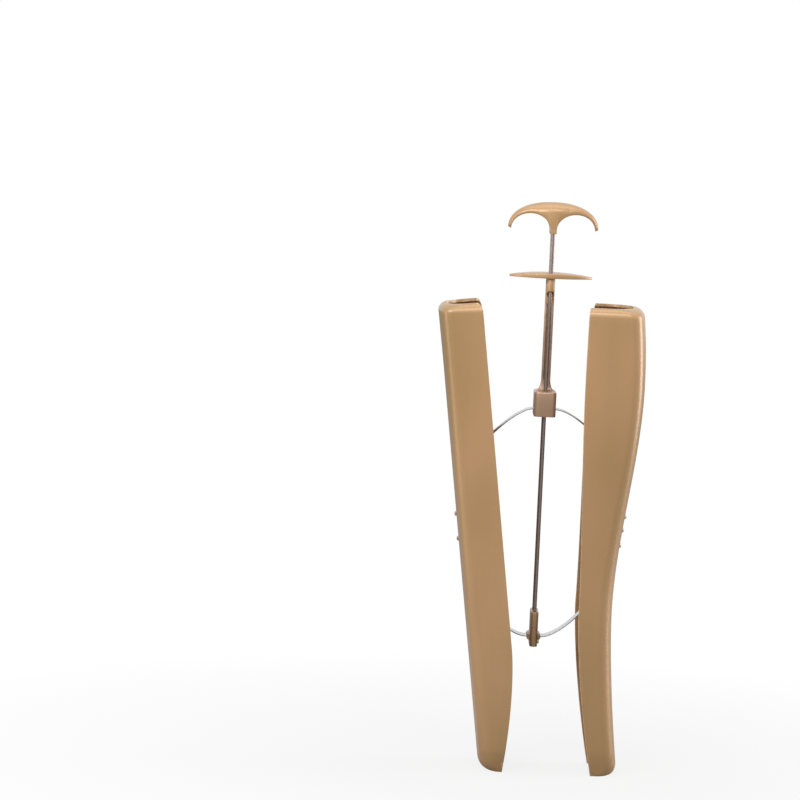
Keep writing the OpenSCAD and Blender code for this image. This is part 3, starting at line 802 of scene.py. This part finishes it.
@dataclass
class Band:
    """Half of a bowed spring band, from its clamped middle to a shell wall."""

    name: str
    node: str
    shell: Shell
    end: Body
    pull: float
    up: int
    middle_z: float
    flat: float
    push: float
    tab: float
    holder: Body
    width: float = 14.0
    thick: float = 0.8
    rounding: float = 0.42
    seam_z: float = 190.0
    seam_gap: float = 0.75
    wall_gap: float = 0.45
    clamp_share: float = 0.6
    end_share: float = 0.92
    steps: int = 48

    def path(self) -> np.ndarray:
        """Middle line of the half band in X and Z, measured from the rods."""
        hold_z = self.seam_z + self.up * self.seam_gap + self.up * self.tab / 2
        tilt = math.atan((self.shell.reach(hold_z + 1) - self.shell.reach(hold_z - 1)) / 2)
        gap = (self.shell.wall + self.wall_gap + self.thick / 2) / math.cos(tilt)
        along = np.array([math.sin(tilt), math.cos(tilt)]) * self.up
        hold = np.array([self.shell.reach(hold_z) - gap, hold_z])
        a = np.array([self.flat, self.middle_z])
        b = a + (self.pull, 0)
        d = hold + along * self.tab / 2
        c = d + along * self.push
        line = [np.array([0.0, self.middle_z]),
                np.array([self.flat * self.clamp_share, self.middle_z])]
        for i in range(self.steps + 1):
            t = i / self.steps
            line.append((1 - t) ** 3 * a + 3 * (1 - t) ** 2 * t * b
                        + 3 * (1 - t) * t * t * c + t ** 3 * d)
        return np.array([*line, hold, hold - along * self.tab / 2])

    def build(self) -> None:
        """Builds the half band in place and hides the imported band it stands for."""
        path, side = self.path(), self.shell.side
        way = np.gradient(path, axis=0)
        way /= np.linalg.norm(way, axis=1)[:, None]
        plan = rounded(self.width, self.thick, self.thick * self.rounding, 4)
        rings = np.array([[(side * (x - dz * t), w, z + dx * t) for w, t in plan]
                          for (x, z), (dx, dz) in zip(path, way)])
        rings[-1, :, 1] *= self.end_share
        made = sharpen(solid(self.name, rings, Finish.BAND))
        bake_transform(made)
        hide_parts(self.node)
        LOG.info("%s bends from %s to %s", self.name, self.holder.value, self.end.value)


# --- the handle


@dataclass
class Station:
    """Where a section of the handle lies, and the share of the hollow that it has."""

    low: np.ndarray
    high: np.ndarray
    deep: float
    hollow: float = 0.0


@dataclass
class Handle:
    """The crescent handle with its two finger arches, its stem and its ribbed hollow."""

    arch_w: float = 15.5
    arch_z: float = 435.8
    long: float = 72.2
    rise: float = 21.0
    tip_lift: float = 1.0
    depth: float = 24.0
    tip_depth: float = 8.0
    tip_share: float = 0.6
    tip_turn: float = 9.0
    grip: float = 6.5
    crown_turn: float = 85.0
    crown_lag: float = 1.5
    crown_full: float = 0.92
    crown_soft: float = 8.0
    crown_share: float = 0.75
    lip: float = 0.7
    lip_share: float = 0.2
    wall: float = 2.2
    wall_foot: float = 0.35
    rib: float = 1.6
    rib_foot: float = 0.3
    hollow_from: float = 27.0
    hollow_to: float = 117.0
    more_turns: tuple[float, ...] = (1.0, 2.0, 4.5, 26.0, 27.0, 117.0, 118.0)
    turn_steps: int = 60
    lip_steps: int = 4
    crown_steps: int = 24
    hollow_steps: int = 6
    grip_angle: float = 46.0
    stem_w: float = 5.2
    stem_z: float = 432.6
    stem_in: float = 0.2
    stem_corner: float = 0.8
    stem_up: float = 1.5
    stem_foot: Pairs = ((0.0, 0.45), (0.08, 0.22), (0.3, 0.0))
    stem_angle: float = 60.0

    def station(self, a: float) -> Station:
        """The section at an angle of the arch, in degrees."""
        half, tip_z = self.long / 2, self.arch_z + self.tip_lift
        arch_x = self.arch_w + self.stem_w / 2
        top = tip_z + self.rise * math.sqrt(1 - (arch_x / half) ** 2)
        tall = top - self.grip - self.arch_z
        r = math.radians(a)
        low = np.array([arch_x + self.arch_w * math.cos(r), self.arch_z + tall * math.sin(r)])
        turn = math.radians(self.crown_turn * (1 - (1 - a / 180) ** self.crown_lag))
        high = np.array([half * math.cos(turn) ** self.crown_full,
                         tip_z + self.rise * math.sin(turn) ** self.crown_full])
        share = min(abs(high[0]) / half, 1)
        deep = mix(self.depth, self.tip_depth, share ** 2) / 2
        deep *= mix(self.tip_share, 1.0, ease(limit(a / self.tip_turn)))
        return Station(low, high, deep, float(self.hollow_from <= a <= self.hollow_to))

    def under(self, tall: float, deep: float, soft: float, hollow: float) -> Line:
        """The underside of a section from the wall to the rib: distances and heights."""
        half_rib = self.rib / 2
        wide = max(deep - self.wall, half_rib + self.rib_foot)
        rows = [wide + self.wall_foot, wide,
                *(mix(wide, half_rib, k / self.hollow_steps)
                  for k in range(1, self.hollow_steps + 1)), half_rib - self.rib_foot]
        line = []
        for k, y in enumerate(rows):
            fall = soft * (1 - math.sqrt(max(1 - (y / (deep - self.wall / 2)) ** 2, 0)))
            inside = 0 < k < len(rows) - 1
            line.append((y, (max(tall - self.wall - fall, 0.0) if inside else 0.0) * hollow))
        return line

    def section(self, station: Station) -> list[Triple]:
        """Section across the handle, with the hollow pressed up into its flat underside."""
        low, up, deep = station.low, station.high - station.low, station.deep
        tall = float(np.linalg.norm(up))
        way = up / tall
        soft = min(tall * self.crown_share, self.crown_soft)
        lip = min(self.lip, tall * self.lip_share)
        turns = [math.pi / 2 * i / self.lip_steps for i in range(self.lip_steps + 1)]
        side = [(deep - lip * (1 - math.sin(a)), lip * (1 - math.cos(a))) for a in turns]
        line = [(-y, t) for y, t in side]
        for i in range(self.crown_steps + 1):
            a = math.pi - math.pi * i / self.crown_steps
            line.append((deep * math.cos(a), tall - soft + soft * math.sin(a)))
        under = self.under(tall, deep, soft, station.hollow)
        line += side[::-1] + under + [(-y, t) for y, t in under[::-1]]
        return [(low[0] + way[0] * t, y, low[1] + way[1] * t) for y, t in line]

    def build(self) -> None:
        """Builds the grip and the stem."""
        turns = {*np.linspace(0, 180, self.turn_steps + 1).tolist(), *self.more_turns}
        arm = [self.station(a) for a in sorted(turns)]
        top = self.arch_z + self.tip_lift + self.rise
        middle = Station(np.array([0.0, self.arch_z]), np.array([0.0, top]), self.depth / 2)
        other = [Station(s.low * (-1, 1), s.high * (-1, 1), s.deep, s.hollow) for s in arm[::-1]]
        rings = np.array([self.section(each) for each in [*arm, middle, *other]])
        grip = sharpen(solid("handle_grip", rings), self.grip_angle)
        levels = [(self.stem_z + up, i) for up, i in self.stem_foot]
        levels.append((self.arch_z + self.stem_up, 0.0))
        deep = self.depth - self.stem_in
        rings = stacked([(z, rounded(self.stem_w - 2 * i, deep - 2 * i, self.stem_corner, 4))
                         for z, i in levels])
        stem = sharpen(solid("handle_stem", rings), self.stem_angle)
        seat({grip: "handle", stem: "handle"}, Body.PLUNGER)


# --- the carriage

ROD_Y = 9.5  # from the middle to each rod
RECESS_R = 2.35  # recess of a clamping screw
RECESS_H = 1.6
HEAD_R = 2.3
HEAD_IN = 0.1  # how far a screw head lies inside its recess
OUT = 1.0  # how far a cutting tool sticks out


@dataclass
class Carriage:
    """The finger flange with its sleeve, the spine and the block that holds the upper band."""

    flange_l: float = 66.0
    flange_d: float = 32.0
    flange_t: float = 1.7
    flange_z: float = 397.3
    flange_edge: float = 0.55
    flange_steps: int = 40
    crown: float = 2.1
    tip_r: float = 3.0
    tongue_z: float = 376.5
    tube_r: float = 3.25
    tube_in: float = 0.3
    tube_steps: int = 48
    mouth_r: float = 2.35
    mouth_end: float = 4.0
    core_corner: float = 0.3
    skirt: float = 9.0
    skirt_out: float = 0.5
    slant: float = 1.5
    side_x: float = 8.0
    sleeve_soft: float = 0.22
    spine_w: float = 7.2
    spine_d: float = 5.0
    spine_lip: float = 1.7
    web: float = 0.9
    spine_in: float = 0.3
    spine_soft: float = 0.35
    block_w: float = 17.5
    block_d: float = 30.0
    block_r: float = 3.5
    block_z: float = 286.5
    block_top: float = 306.5
    rod_r: float = 1.75
    rod_mouth: float = 1.2
    flare_h: float = 9.5
    flare_d: float = 12.0
    flare_edge: float = 1.2
    flare_in: float = 0.2
    flare_corner: float = 1.0
    flare_steps: int = 16

    def half_depth(self, x: float) -> float:
        """Half of the depth of the lens-shaped flange at x."""
        half_l, half_d = self.flange_l / 2 - self.tip_r, self.flange_d / 2 - self.tip_r
        arc = (half_l ** 2 + half_d ** 2) / (2 * half_d)
        if x > half_l * (1 + self.tip_r / arc):
            return math.sqrt(max(self.tip_r ** 2 - (x - half_l) ** 2, 0.01))
        return math.sqrt((arc + self.tip_r) ** 2 - x * x) - arc + half_d

    def flange(self) -> Object:
        """The crowned lens-shaped plate under which two fingers hook."""
        half = self.flange_l / 2
        arc = (half ** 2 + self.crown ** 2) / (2 * self.crown)
        rings = []
        for i in range(2 * self.flange_steps + 1):
            x = half * math.sin(math.pi / 2 * (i / self.flange_steps - 1))
            tall = self.flange_t + self.crown - arc + math.sqrt(arc * arc - x * x)
            deep = self.half_depth(abs(x))
            plan = rounded(2 * deep, tall, min(self.flange_edge, deep * 0.95), 4)
            rings.append([(x, y, self.flange_z + tall / 2 + z) for y, z in plan])
        return sharpen(solid("flange_plate", np.array(rings)))

    def sleeve(self) -> Object:
        """Two guide tubes joined to a tongue, cut off at a slant below."""
        low, high = self.tongue_z, self.flange_z + self.tube_in
        tube = turned([(self.tube_r, low), (self.tube_r, high)], self.tube_steps)
        made = solid("flange_sleeve", at(tube, 0, -ROD_Y, 0))
        tools = [at(tube, 0, ROD_Y, 0)]
        for w, d, lift in ((self.spine_w / 2, 2 * ROD_Y, 0.02),
                           (self.spine_w, self.spine_d, 0.04)):
            plan = rounded(w, d, self.core_corner, 2)
            tools.append(stacked([(low - lift, plan), (high + lift, plan)]))
        for rings in tools:
            carve(made, solid("sleeve_part", rings), "UNION")
        wide, narrow = ROD_Y + self.tube_r + self.skirt_out, self.spine_d / 2
        skirt, slant, top = self.flange_z - self.skirt, low + self.slant, high - 0.1
        side = [(-wide, top), (-wide, skirt), (-narrow, slant), (-narrow, low)]
        side += [(-y, z) for y, z in side[::-1]]
        rings = np.array([[(x, y, z) for y, z in side] for x in (-self.side_x, self.side_x)])
        carve(made, solid("sleeve_side", rings), "INTERSECT")
        for y in (-ROD_Y, ROD_Y):
            drill(made, self.mouth_r, low - OUT, self.flange_z - self.mouth_end, Finish.GOLD, y,
                  self.tube_steps)
        return soften(made, self.sleeve_soft, 35.0, 2)

    def spine(self) -> Object:
        """The grooved spine between block and sleeve."""
        w, d, web = self.spine_w / 2, self.spine_d / 2, self.web
        lip = w - self.spine_lip
        line = [(-w, -d), (-lip, -d), (-lip, -web), (lip, -web), (lip, -d), (w, -d)]
        line += [(-x, -y) for x, y in line]
        rings = slab(line, self.block_top - self.spine_in, self.tongue_z)
        return soften(solid("spine_bar", rings, Finish.SHADED_SPINE), self.spine_soft, 40.0)

    def flare(self) -> Object:
        """The concave foot of the spine on the block."""
        plans, foot_w = [], self.block_w - self.flare_edge
        for i in range(self.flare_steps + 1):
            a = math.pi / 2 * i / self.flare_steps
            w = foot_w - (foot_w - self.spine_w) * math.sin(a)
            d = self.flare_d - (self.flare_d - self.spine_d) * math.sin(a)
            rise = (self.flare_h + self.flare_in) * (1 - math.cos(a))
            plans.append((self.block_top - self.flare_in + rise,
                          rounded(w, d, self.flare_corner, 5)))
        return sharpen(solid("spine_flare", stacked(plans), Finish.SHADED_SPINE))

    def block(self) -> Object:
        """The block, chamfered above, in which the upper band is clamped."""
        low, top, mouth = self.block_z, self.block_top, self.rod_mouth
        head = [(1.3, 0.0), (0.8, 0.1), (0.35, 0.4), (0.1, 0.85), (0.0, 1.4)]
        rings = cushion(self.block_w, self.block_d, self.block_r, low, top, head)
        made = solid("block_body", rings, Finish.SHADED_BLOCK)
        drill(made, RECESS_R, low - OUT, low + RECESS_H, Finish.SHADED_BLOCK)
        for y in (-ROD_Y, ROD_Y):
            drill(made, self.rod_r, low - OUT, low + mouth, Finish.SHADED_BLOCK, y)
            drill(made, self.rod_r, top - mouth, top + OUT, Finish.SHADED_BLOCK, y)
        return sharpen(made)

    def build(self) -> None:
        """Builds the pieces that ride on the carriage."""
        screw = ScrewHead("block_screw_head", (0, 0, self.block_z + HEAD_IN), HEAD_R)
        seat({screw.build(): "block_screw", self.flange(): "finger_flange",
              self.sleeve(): "finger_flange", self.spine(): "spine", self.flare(): "spine",
              self.block(): "spine"}, Body.CARRIAGE)


@dataclass
class EndBlock:
    """The end block that clamps the lower band and the lower ends of the rods."""

    width: float = 6.2
    depth: float = 27.0
    corner: float = 2.98
    low: float = 100.5
    high: float = 128.5
    rod_r: float = 1.62
    rod_mouth: float = 1.0
    band_z: float = 108.0
    lip_r: float = 2.9
    lip_x: float = 2.8
    lip_l: float = 17.0
    lip_edge: Pairs = ((0.6, 0.0), (0.15, 0.2), (0.0, 0.7))
    lip_steps: int = 48
    lock_z: float = 104.4
    lock_r: float = 1.6
    lock_out: float = 1.3

    def lip(self, name: str, x: float) -> Object:
        """One of the two rounded lips through which the band leaves."""
        half, r = self.lip_l / 2, self.lip_r
        edge = [(r - drop, -half + back) for drop, back in self.lip_edge]
        line = [(TIP_R, -half), *edge, *((a, -z) for a, z in edge[::-1]), (TIP_R, half)]
        rings = at(along_y(turned(line, self.lip_steps)), x, 0, self.band_z)
        return solid("end_block_lip_" + name, rings, Finish.DARK_GOLD)

    def build(self) -> None:
        """Builds the block, its two lips and its screws."""
        head = [(0.8, 0.0), (0.45, 0.1), (0.16, 0.3), (0.0, 0.7)]
        rings = cushion(self.width, self.depth, self.corner, self.low, self.high, head)
        block = solid("end_block_body", rings, Finish.DARK_GOLD)
        for y in (-ROD_Y, ROD_Y):
            drill(block, self.rod_r, self.high - self.rod_mouth, self.high + OUT,
                  Finish.DARK_GOLD, y)
        drill(block, RECESS_R, self.low - OUT, self.low + RECESS_H, Finish.DARK_GOLD)
        nodes = {sharpen(block): "end_block"}
        for name, x in (("shin", -self.lip_x), ("calf", self.lip_x)):
            nodes[self.lip(name, x)] = "end_block"
        screw = ScrewHead("end_screw_head", (0, 0, self.low + HEAD_IN), HEAD_R)
        nodes[screw.build()] = "end_screw"
        for name, y in (("front", -ROD_Y), ("back", ROD_Y)):
            place = (self.width / 2 + self.lock_out, y, self.lock_z)
            screw = ScrewHead("rod_screw_" + name, place, self.lock_r, Finish.DARK_GOLD, True)
            nodes[screw.build()] = "rod_screws"
        seat(nodes, Body.PLUNGER)


def dress_node(name: str, finish: Finish) -> None:
    """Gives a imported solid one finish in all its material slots."""
    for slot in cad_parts[name].material_slots:
        slot.material = material(finish)


# --- the studio


@dataclass
class Lamp:
    """A soft rectangular lamp that faces the shaper."""

    name: str
    place: Triple
    target: Triple
    size: tuple[float, float]
    power: float

    def build(self) -> None:
        """Adds the lamp."""
        light = bpy.data.lights.new(self.name, "AREA")
        light.shape = "RECTANGLE"
        light.size, light.size_y = self.size
        light.energy = self.power
        made = add(self.name, light)
        made.location = self.place
        way = Vector(self.target) - Vector(self.place)
        made.rotation_euler = way.to_track_quat("-Z", "Y").to_euler()


@dataclass
class Studio:
    """Camera, pale floor, world and soft lamps."""

    camera_place: Triple = (-0.1115, -2.860, 0.5715)
    pitch: float = 5.55
    roll: float = 2.6
    lens: float = 161.1
    far_clip: float = 40.0
    floor_half: float = 6.0
    floor_grey: float = 0.42
    floor_fade: tuple[float, float] = (0.12, 0.55)
    floor_glow: float = 0.84
    surround: float = 0.54
    mirrored: float = 0.85
    lamps: tuple[Lamp, ...] = (
        Lamp("key_lamp", (-0.36, -0.6, 0.78), (-0.02, 0, 0.41), (0.5, 0.35), 5.0),
        Lamp("left_lamp", (-1.2, -0.35, 0.2), (-0.06, 0, 0.15), (0.5, 0.7), 3.6),
        Lamp("side_lamp", (1.5, 0.25, 0.5), (0.05, 0, 0.25), (0.6, 1.4), 18),
        Lamp("top_lamp", (0.0, 0.1, 1.7), (0, 0, 0.3), (1.2, 0.8), 6),
        Lamp("rim_lamp", (0.1, -0.62, 1.02), (0.03, 0, 0.37), (0.22, 0.12), 1.5),
    )

    def camera(self) -> None:
        """Places the camera at the photograph's angle."""
        data = bpy.data.cameras.new("view_camera")
        data.lens = self.lens
        data.clip_end = self.far_clip
        made = add("view_camera", data)
        turn = Euler((math.radians(90 - self.pitch), 0, 0)).to_matrix().to_4x4()
        turn = turn @ Matrix.Rotation(math.radians(self.roll), 4, "Z")
        made.matrix_world = Matrix.Translation(self.camera_place) @ turn
        bpy.context.scene.camera = made

    def floor(self) -> None:
        """Adds the pale floor, which keeps a soft shadow near the shaper."""
        mesh = bpy.data.meshes.new("studio_floor")
        h, grey = self.floor_half, self.floor_grey
        mesh.from_pydata([(-h, -h, 0), (h, -h, 0), (h, h, 0), (-h, h, 0)], [], [(0, 1, 2, 3)])
        made = add("studio_floor", mesh)
        p = Paint.named("studio_floor_white")
        matt = p.node("ShaderNodeBsdfDiffuse", {}, {"Color": (grey, grey, grey, 1)})
        away = p.node("ShaderNodeVectorMath", {"operation": "LENGTH"}, {0: p.place()}, "Value")
        plain = p.ramp(away, *self.floor_fade)
        glow = p.node("ShaderNodeEmission", {}, {"Color": (1, 1, 1, 1), "Strength": 1.0})
        seen = p.node("ShaderNodeLightPath", {}, {}, "Is Camera Ray")
        share = seen * (self.floor_glow + plain * (1 - self.floor_glow))
        both = p.node("ShaderNodeMixShader", {}, {0: share, 1: matt, 2: glow})
        p.node("ShaderNodeOutputMaterial", {}, {"Surface": both})
        mesh.materials.append(p.owner)

    def world(self) -> None:
        """Lights the scene evenly and shows white behind the shaper."""
        scene = bpy.context.scene
        scene.world = bpy.data.worlds.new("studio_world")
        p = Paint(scene.world)
        seen = p.node("ShaderNodeLightPath", {}, {}, "Is Camera Ray")
        mirrored = p.node("ShaderNodeLightPath", {}, {}, "Is Glossy Ray")
        level = self.surround + (seen + mirrored * self.mirrored) * (1 - self.surround)
        sky = p.node("ShaderNodeBackground", {}, {"Color": (1, 1, 1, 1), "Strength": level})
        p.node("ShaderNodeOutputWorld", {}, {"Surface": sky})
        scene.view_settings.view_transform = "Standard"

    def build(self) -> None:
        """Builds the whole studio."""
        self.camera()
        self.floor()
        self.world()
        for lamp in self.lamps:
            lamp.build()


# --- assembly


@dataclass
class BootShaper:
    """The whole shaper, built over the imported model."""

    shin: ShinShell = field(default_factory=ShinShell)
    calf: CalfShell = field(default_factory=CalfShell)

    def bands(self) -> None:
        """Builds both spring bands in halves."""
        upper = {"up": 1, "middle_z": 292, "flat": 9.25, "push": 34, "tab": 25,
                 "holder": Body.CARRIAGE}
        lower = {"up": -1, "middle_z": 108, "flat": 6.0, "push": 30, "tab": 12,
                 "holder": Body.PLUNGER}
        for node, half, shell, end, pull, common in (
                ("upper_band", "_shin_half", self.shin, Body.SHIN, 14, upper),
                ("upper_band", "_calf_half", self.calf, Body.CALF, 19, upper),
                ("lower_band", "_shin_half", self.shin, Body.SHIN_LINK, 21, lower),
                ("lower_band", "_calf_half", self.calf, Body.CALF_LINK, 17, lower)):
            Band(node + half, node, shell, end, pull, **common).build()

    def build(self) -> None:
        """Builds every piece in order."""
        self.shin.build()
        self.calf.build()
        self.bands()
        for part in (Handle(), Carriage(), EndBlock()):
            part.build()
        for name in ("front_rod", "back_rod"):
            dress_node(name, Finish.ROD)
        for name in ("shin_upper_rivet", "shin_lower_rivet", "calf_upper_rivets",
                     "calf_lower_rivet"):
            dress_node(name, Finish.SCREW)


def main() -> None:
    """Builds the studio and the shaper."""
    logging.basicConfig(level=logging.INFO, format="%(name)s %(message)s")
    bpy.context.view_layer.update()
    Studio().build()
    BootShaper().build()
    LOG.info("boxes written")


if __name__ == "__main__":
    main()
